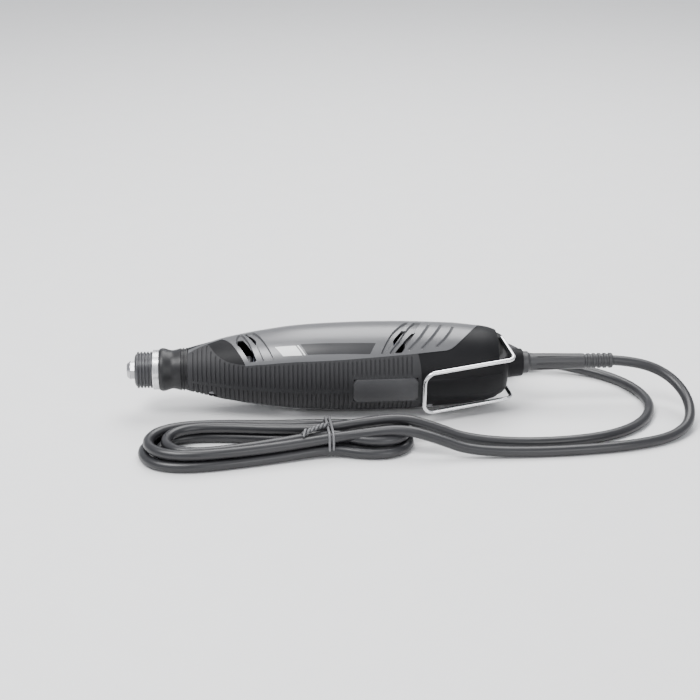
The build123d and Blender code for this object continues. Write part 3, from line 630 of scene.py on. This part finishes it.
def thick_piece(name, layout, mask, top, bottom, side, bevel):
    """Closed solid over some of the layout's triangles, with a bevel along its outer rim."""
    used, faces = np.unique(layout.faces[mask], return_inverse=True)
    faces = faces.reshape(-1, 3)
    flat = layout.flat[used]
    count = len(used)
    upper = on_surface(flat, top[used], side)
    lower = on_surface(flat, np.full(count, float(bottom)), side)
    rim = outer_rim(faces)
    out = [tuple(face) for face in faces] if side < 0 else [tuple(face[::-1]) for face in faces]
    polygons = list(out)
    polygons += [tuple(v + count for v in reversed(face)) for face in out]
    for a, b in rim:
        quad = (b, a, a + count, b + count)
        polygons.append(quad if side < 0 else quad[::-1])
    mesh = bpy.data.meshes.new(name)
    mesh.from_pydata([tuple(v) for v in np.vstack([upper, lower])], [], polygons)
    mesh.validate()
    mesh.transform(TOOL)
    weigh_rim(mesh, rim)
    piece = bpy.data.objects.new(name, mesh)
    bpy.context.scene.collection.objects.link(piece)
    finish_edges(piece, bevel)
    return piece


def finish_edges(piece, bevel):
    if bevel:
        modifier = piece.modifiers.new("edge", "BEVEL")
        modifier.limit_method = "WEIGHT"
        modifier.width = bevel * MM
        modifier.segments = 2
        modifier.use_clamp_overlap = True
        modifier.harden_normals = False
    piece.data.shade_smooth()
    piece.data.set_sharp_from_angle(angle=SHARP)


def shell_rows(word, layout):
    """Each piece of one side: name, triangles, top, bottom, bevel, slot and the CAD node it stands for."""
    flush = np.zeros(len(layout.flat))
    label = flush + PROUD + LABEL_PROUD
    trim = layout.trim_height()
    grip = layout.grip_height()
    liner = flush - SEAT_DEPTH - LINER_GAP
    return [
        (f"trim_{word}_panel", "trim", trim, -SEAT_DEPTH, EDGE, "trim", f"trim_{word}"),
        (f"cheek_{word}_insert", "cheek", flush + CHEEK_PROUD, -SEAT_DEPTH, EDGE, "cheek", f"cheek_{word}"),
        (f"grip_{word}_ribbed", "grip", grip, -SEAT_DEPTH, EDGE, "grip", f"soft_grip_{word}"),
        (f"shell_{word}", "shell", layout.shell_height(), -WALL, EDGE, "housing", f"housing_{word}"),
        (f"shell_{word}_liner", "liner", liner, -WALL, 0, "housing", None),
        (f"plate_{word}", "plate", label, LABEL_BOTTOM, 0, "trim", None),
        (f"stripe_{word}", "stripe", label, LABEL_BOTTOM, 0, "housing", None),
    ]


def make_shells():
    pieces = []
    for word, side in (("left", 1), ("right", -1)):
        layout = Layout(wells=side < 0)
        masks = layout.classes()
        for name, key, top, bottom, bevel, slot, node in shell_rows(word, layout):
            piece = thick_piece(name, layout, masks[key], top, bottom, side, bevel)
            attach(piece, "root")
            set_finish(piece, slot)
            if node:
                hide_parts(node)
            pieces.append(piece)
    return pieces


def lathe(name, outline, steps=96):
    """Closed ring turned round the spindle's axis, from a closed outline in X and R."""
    rows = len(outline)
    verts, faces = [], []
    for k in range(steps):
        angle = 2 * math.pi * k / steps
        verts += [(x, r * math.cos(angle), r * math.sin(angle)) for x, r in outline]
        for j in range(rows):
            a, b = k * rows + j, k * rows + (j + 1) % rows
            c, d = (b + rows) % (rows * steps), (a + rows) % (rows * steps)
            faces.append((a, b, c, d))
    mesh = bpy.data.meshes.new(name)
    mesh.from_pydata(verts, [], faces)
    mesh.transform(TOOL)
    mesh.validate()
    piece = bpy.data.objects.new(name, mesh)
    bpy.context.scene.collection.objects.link(piece)
    piece.data.shade_smooth()
    piece.data.set_sharp_from_angle(angle=SHARP)
    return piece


# Outline in X and R of the collar that the cord leaves the tail through.
NECK = [
    (105.3, 5.5), (105.3, 10.6), (105.5, 10.6), (106.0, 9.5), (106.8, 8.9), (108.0, 8.6),
    (114.6, 8.1), (115.2, 7.8), (115.5, 7.3), (115.5, 5.5),
]


def make_neck():
    neck = lathe("neck", NECK)
    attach(neck, "root")
    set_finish(neck, "housing")
    return neck


# ---------------------------------------------------------------- wire hanger
BAIL_PIVOT = (103.0, 7.0)
BAIL_ELBOW = (108.5, -16.3)
BAIL_BAR = (55.5, -29.8)
BAIL_HALF = 13.7
BAIL_BENDS = (1.9, 4.0, 6.0)
BAIL_WIRE_R = 1.2
BAIL_INNER_END = 8.4           # half the gap between the wire's two ends
BEND_STEPS = 12


def make_bail():
    """Sprung wire hoop, with round bends."""
    half = [(*BAIL_PIVOT, BAIL_INNER_END)]
    half += [(*corner, BAIL_HALF) for corner in (BAIL_PIVOT, BAIL_ELBOW, BAIL_BAR)]
    corners = [Vector(point) for point in half + [(x, y, -z) for x, y, z in reversed(half)]]
    points = [corners[0]]
    bends = BAIL_BENDS + BAIL_BENDS[::-1]
    for before, corner, after, bend in zip(corners, corners[1:], corners[2:], bends):
        into, out = (before - corner).normalized(), (after - corner).normalized()
        reach = bend / math.tan(into.angle(out) / 2)
        start, end = corner + into * reach, corner + out * reach
        centre = corner + (into + out).normalized() * (bend / math.sin(into.angle(out) / 2))
        for k in range(BEND_STEPS + 1):
            spoke = start.lerp(end, k / BEND_STEPS) - centre
            points.append(centre + spoke.normalized() * bend)
    points.append(corners[-1])
    points = [TOOL @ point for point in points]
    bail = make_curve("hanger_wire", points, BAIL_WIRE_R * MM, order=2, resolution=1)
    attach(bail, "hanger")
    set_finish(bail, "bail")
    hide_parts("hanger_bail")
    return bail


# ---------------------------------------------------------------- spindle lock's spring
SPRING_SEAT = Vector((-64.5, 10.62, 0.0))
SPRING_R = 2.6
SPRING_WIRE_R = 0.25
SPRING_PITCH = 0.9
SPRING_HEIGHT = 2.76
SPRING_STEPS = 80


def make_lock_spring():
    """Coil that stands on its seat along +Y at its rest height; the lock button presses the real one flat."""
    turns = (SPRING_HEIGHT - 2 * SPRING_WIRE_R) / SPRING_PITCH
    points = []
    for step in range(SPRING_STEPS + 1):
        angle = math.tau * turns * step / SPRING_STEPS
        rise = SPRING_WIRE_R + SPRING_PITCH * angle / math.tau
        spoke = Vector((SPRING_R * math.cos(angle), rise, -SPRING_R * math.sin(angle)))
        points.append(TOOL @ (SPRING_SEAT + spoke))
    wire = make_curve("lock_spring_wire", points, SPRING_WIRE_R * MM, resolution=2)
    bpy.context.view_layer.update()
    mesh = bpy.data.meshes.new_from_object(wire.evaluated_get(bpy.context.evaluated_depsgraph_get()))
    bpy.data.objects.remove(wire)
    spring = bpy.data.objects.new("lock_spring", mesh)
    bpy.context.scene.collection.objects.link(spring)
    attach(spring, "root")
    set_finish(spring, "steel")
    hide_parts("spindle_lock_spring")
    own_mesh(spring)
    return spring


# ---------------------------------------------------------------- twist tie
TIE_HALF = 13.2
TIE_LOW = 0.9
TIE_HIGH = 14.4
TIE_CORNER = 3.0
TIE_WIRE_R = 0.75
TIE_TURN_GAP = 1.1             # half the distance between its two turns
TWIST_STEPS = 22
TWIST_OPEN = 17                # the step after which the two ends spread
TWIST_REACH = 0.95             # length of a step
TWIST_TURN = 0.9               # radians for each step
TWIST_R = 0.9
TWIST_START = (-0.4, -2.0, 1.4)


def tie_ring(along):
    """Control points of one turn round the hank."""
    half, low, high, corner = TIE_HALF, TIE_LOW, TIE_HIGH, TIE_CORNER
    ring = [(half, low + corner), (half, high - corner), (half - 1, high - 0.8), (half - corner, high),
            (0, high + 0.3), (corner - half, high), (1 - half, high - 0.8), (-half, high - corner),
            (-half, low + corner), (1 - half, low + 0.8), (corner - half, low), (half - corner, low),
            (half - 1, low + 0.8)]
    return [Vector(on_hank(along, y, z)) * MM for y, z in ring]


def twist_points(phase):
    """Control points of one of the two ends, twisted round each other over the hank."""
    points = []
    for k in range(TWIST_STEPS):
        reach = k * TWIST_REACH
        angle = phase + k * TWIST_TURN
        spread = TWIST_R + 0.5 * max(0, k - TWIST_OPEN)
        sag = 0.012 * reach ** 2 * 0.6
        along = TIE_AT + TWIST_START[0] - reach * 0.75
        sideways = TWIST_START[1] - reach * 0.35 + spread * math.cos(angle)
        up = TIE_HIGH + TWIST_START[2] + reach * 0.05 - sag + spread * math.sin(angle)
        points.append(Vector(on_hank(along, sideways, up)) * MM)
    return points


def make_tie():
    """Two turns of covered wire round the hank, with their twisted ends."""
    pieces = []
    for index, side in enumerate((-1, 1)):
        ring = tie_ring(TIE_AT + side * TIE_TURN_GAP)
        pieces.append(make_curve(f"tie_turn_{index}", ring, TIE_WIRE_R * MM, cyclic=True))
    for index, phase in enumerate((0.0, math.pi)):
        pieces.append(make_curve(f"tie_end_{index}", twist_points(phase), TIE_WIRE_R * MM))
    for piece in pieces:
        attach(piece, "root")
        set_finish(piece, "tie")
    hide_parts("cord_tie")
    return pieces


# ---------------------------------------------------------------- materials
SLOW_SCALE = 45.0              # of the changes of tone and gloss, per metre
COAT_ROUGHNESS = 0.25


def node_of(tree, kind, **inputs):
    """New shader node with some of its inputs set."""
    node = tree.nodes.new(kind)
    for key, value in inputs.items():
        node.inputs[key].default_value = value
    return node


def math_node(tree, operation):
    node = tree.nodes.new("ShaderNodeMath")
    node.operation = operation
    return node


def tone_of(tree, slow, color, vary):
    """Colour that wanders by vary with the slow noise."""
    tone = tree.nodes.new("ShaderNodeValToRGB")
    dark, light = tone.color_ramp.elements
    dark.position = 0.3
    light.position = 0.72
    dark.color = (*[c * (1 - vary) for c in color], 1)
    light.color = (*[min(1.0, c * (1 + vary)) for c in color], 1)
    tree.links.new(slow, tone.inputs["Fac"])
    return tone.outputs["Color"]


def gloss_of(tree, slow, height, rough, rough_vary):
    """Roughness that wanders by rough_vary with the mean of both patterns."""
    mixed = math_node(tree, "ADD")
    tree.links.new(height, mixed.inputs[0])
    tree.links.new(slow, mixed.inputs[1])
    half = math_node(tree, "MULTIPLY")
    half.inputs[1].default_value = 0.5
    tree.links.new(mixed.outputs[0], half.inputs[0])
    gloss = node_of(tree, "ShaderNodeMapRange", **{"From Min": 0.2, "From Max": 0.8})
    gloss.inputs["To Min"].default_value = max(0.03, rough - rough_vary)
    gloss.inputs["To Max"].default_value = min(1.0, rough + rough_vary)
    tree.links.new(half.outputs[0], gloss.inputs["Value"])
    return gloss.outputs["Result"]


def grain_of(tree, place, grain_size, cell):
    """Height of the grain: cells like a moulded skin, or noise."""
    scale = 1.0 / (grain_size * MM)
    if cell:
        fine = node_of(tree, "ShaderNodeTexVoronoi", Scale=scale)
        output = "Distance"
    else:
        fine = node_of(tree, "ShaderNodeTexNoise", Scale=scale, Detail=4.0, Roughness=0.65)
        output = "Fac"
    tree.links.new(place, fine.inputs["Vector"])
    return fine.outputs[output]


def surface(name, color, rough, metallic=0.0, grain=0.0, grain_size=0.3, vary=0.1, rough_vary=0.08,
            coat=0.0, stretch=(1, 1, 1), cell=False, specular=0.5):
    """Procedural surface: a moulded, brushed or rubbed grain over slow changes of tone and gloss.

    grain is its depth and grain_size its width, in mm. stretch narrows it along an axis.
    """
    made = bpy.data.materials.new(name)
    made.use_nodes = True
    tree = made.node_tree
    shader = tree.nodes["Principled BSDF"]
    shader.inputs["Metallic"].default_value = metallic
    shader.inputs["Specular IOR Level"].default_value = specular
    shader.inputs["Coat Weight"].default_value = coat
    shader.inputs["Coat Roughness"].default_value = COAT_ROUGHNESS
    place = tree.nodes.new("ShaderNodeTexCoord")
    scale = node_of(tree, "ShaderNodeMapping", Scale=stretch)
    tree.links.new(place.outputs["Object"], scale.inputs["Vector"])
    slow_node = node_of(tree, "ShaderNodeTexNoise", Scale=SLOW_SCALE, Detail=5.0, Roughness=0.6)
    tree.links.new(scale.outputs[0], slow_node.inputs["Vector"])
    slow = slow_node.outputs["Fac"]
    height = grain_of(tree, scale.outputs[0], grain_size, cell)
    tree.links.new(tone_of(tree, slow, color, vary), shader.inputs["Base Color"])
    tree.links.new(gloss_of(tree, slow, height, rough, rough_vary), shader.inputs["Roughness"])
    if grain:
        bump = node_of(tree, "ShaderNodeBump", Strength=1.0, Distance=grain * MM)
        tree.links.new(height, bump.inputs["Height"])
        tree.links.new(bump.outputs["Normal"], shader.inputs["Normal"])
    return made


MATERIALS = {
    "housing": surface("black_plastic", (0.006, 0.006, 0.007), 0.48, grain=0.02, grain_size=0.35, cell=True,
                       specular=0.16),
    "trim": surface("silver_lacquer", (0.12, 0.121, 0.126), 0.34, metallic=0.4, grain=0.004, grain_size=0.12,
                    vary=0.03, coat=0.25),
    "cheek": surface("grey_plastic", (0.009, 0.009, 0.010), 0.48, grain=0.02, grain_size=0.4, cell=True,
                     specular=0.16),
    "grip": surface("soft_rubber", (0.02, 0.02, 0.022), 0.62, grain=0.02, grain_size=0.2, specular=0.4),
    "pad": surface("smooth_rubber", (0.05, 0.05, 0.053), 0.55, grain=0.02, grain_size=0.25),
    "nose_plastic": surface("nose_plastic", (0.012, 0.012, 0.013), 0.4, grain=0.02, grain_size=0.3, cell=True,
                            specular=0.35),
    "nose_metal": surface("turned_ring", (0.72, 0.72, 0.73), 0.28, metallic=0.9, grain=0.006, grain_size=0.5,
                          stretch=(12, 1, 1), vary=0.04),
    "nose_collar": surface("collar", (0.05, 0.05, 0.054), 0.36, metallic=0.3, grain=0.006, grain_size=0.25),
    "steel": surface("ground_steel", (0.5, 0.5, 0.51), 0.3, metallic=1.0, grain=0.004, stretch=(10, 1, 1)),
    "nut": surface("plated_nut", (0.42, 0.42, 0.43), 0.27, metallic=1.0, grain=0.004, stretch=(8, 1, 1)),
    "screw": surface("dark_zinc", (0.2, 0.2, 0.21), 0.4, metallic=1.0, grain=0.006),
    "bearing": surface("bearing_steel", (0.7, 0.7, 0.71), 0.15, metallic=1.0, vary=0.03),
    "bracket": surface("filled_plastic", (0.09, 0.09, 0.095), 0.55, grain=0.02),
    "coupling": surface("hard_plastic", (0.17, 0.17, 0.18), 0.5, grain=0.02),
    "fan": surface("fan_plastic", (0.13, 0.14, 0.17), 0.5, grain=0.02),
    "laminations": surface("laminations", (0.3, 0.29, 0.28), 0.45, metallic=0.9, grain=0.03,
                           stretch=(10, 1, 1)),
    "copper": surface("copper", (0.72, 0.36, 0.18), 0.3, metallic=1.0),
    "winding": surface("winding", (0.5, 0.19, 0.08), 0.32, metallic=0.8, grain=0.05, grain_size=0.4),
    "brass": surface("brass", (0.7, 0.55, 0.25), 0.3, metallic=1.0),
    "carbon": surface("carbon", (0.03, 0.03, 0.03), 0.6, grain=0.01),
    "board": surface("board", (0.04, 0.2, 0.1), 0.4, grain=0.01),
    "capacitor": surface("capacitor", (0.5, 0.38, 0.08), 0.35),
    "heatsink": surface("heatsink", (0.65, 0.65, 0.67), 0.4, metallic=1.0, grain=0.004),
    "control": surface("control", (0.05, 0.05, 0.054), 0.45, grain=0.02, cell=True),
    "button": surface("button", (0.02, 0.05, 0.2), 0.42, grain=0.015),
    "switch_case": surface("switch_case", (0.11, 0.11, 0.12), 0.5, grain=0.02),
    "leads": surface("leads", (0.06, 0.1, 0.35), 0.4),
    "cord": surface("cord_sheath", (0.018, 0.018, 0.02), 0.36, grain=0.012, grain_size=0.5, vary=0.15),
    "tie": surface("tie_cover", (0.13, 0.13, 0.135), 0.35, grain=0.01),
    "relief": surface("relief_rubber", (0.03, 0.03, 0.032), 0.46, grain=0.02, grain_size=0.3),
    "bail": surface("plated_wire", (0.86, 0.86, 0.87), 0.2, metallic=1.0, vary=0.03),
    "plug": surface("plug_plastic", (0.025, 0.025, 0.027), 0.34, grain=0.015, grain_size=0.35),
    "pins": surface("plated_pins", (0.75, 0.74, 0.72), 0.2, metallic=1.0),
}
WHITE = surface("plate_white", (0.8, 0.8, 0.8), 0.35, grain=0.002, vary=0.02)
STRIPE_BLACK = surface("stripe_black", (0.022, 0.022, 0.024), 0.3, grain=0.002, vary=0.05)


def paint(piece, made):
    """Gives a piece this one material."""
    piece.data.materials.clear()
    piece.data.materials.append(made)


def paint_nodes():
    """Every CAD node that still shows takes its slot's finish."""
    for row in frame["record"]["subparts"]:
        node = NODES.get(row["node"])
        if node is None:
            continue
        for slot in node.material_slots:
            slot.link = "OBJECT"
            slot.material = MATERIALS[row["material_slot"]]


# ---------------------------------------------------------------- studio
FLOOR_HALF = 6.0
SKY_COLOR = (0.93, 0.95, 1.0, 1)
SKY_STRENGTH = 0.75
# Each light: its name, place, size and power. All face the origin.
LIGHTS = [
    ("key", (-0.5, -0.35, 1.1), 0.6, 19.0),
    ("top", (0.15, 0.55, 1.0), 0.8, 16.0),
    ("front", (0.5, -1.1, 0.5), 0.6, 5.0),
]


def make_floor():
    size = FLOOR_HALF
    mesh = bpy.data.meshes.new("floor")
    mesh.from_pydata([(-size, -size, 0), (size, -size, 0), (size, size, 0), (-size, size, 0)], [],
                     [(0, 1, 2, 3)])
    floor = bpy.data.objects.new("floor", mesh)
    bpy.context.scene.collection.objects.link(floor)
    floor.data.materials.append(surface("floor_paper", (0.8, 0.8, 0.8), 0.75, vary=0.01))


def make_lights():
    world = bpy.data.worlds.new("studio")
    world.use_nodes = True
    sky = world.node_tree.nodes["Background"]
    sky.inputs["Color"].default_value = SKY_COLOR
    sky.inputs["Strength"].default_value = SKY_STRENGTH
    bpy.context.scene.world = world
    for name, spot, size, power in LIGHTS:
        data = bpy.data.lights.new(name, "AREA")
        data.size = size
        data.energy = power
        light = bpy.data.objects.new(name, data)
        light.location = spot
        light.rotation_euler = (-Vector(spot)).to_track_quat("-Z", "Y").to_euler()
        bpy.context.scene.collection.objects.link(light)


make_camera()
cord = make_cord()
shells = make_shells()
neck = make_neck()
bail = make_bail()
tie = make_tie()
spring = make_lock_spring()
make_floor()
make_lights()
paint_nodes()
for piece in [cord, neck, bail, spring, *shells, *tie]:
    paint(piece, MATERIALS[piece["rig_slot"]])
for piece in shells:
    if piece.name.startswith("plate"):
        paint(piece, WHITE)
    if piece.name.startswith("stripe"):
        paint(piece, STRIPE_BLACK)
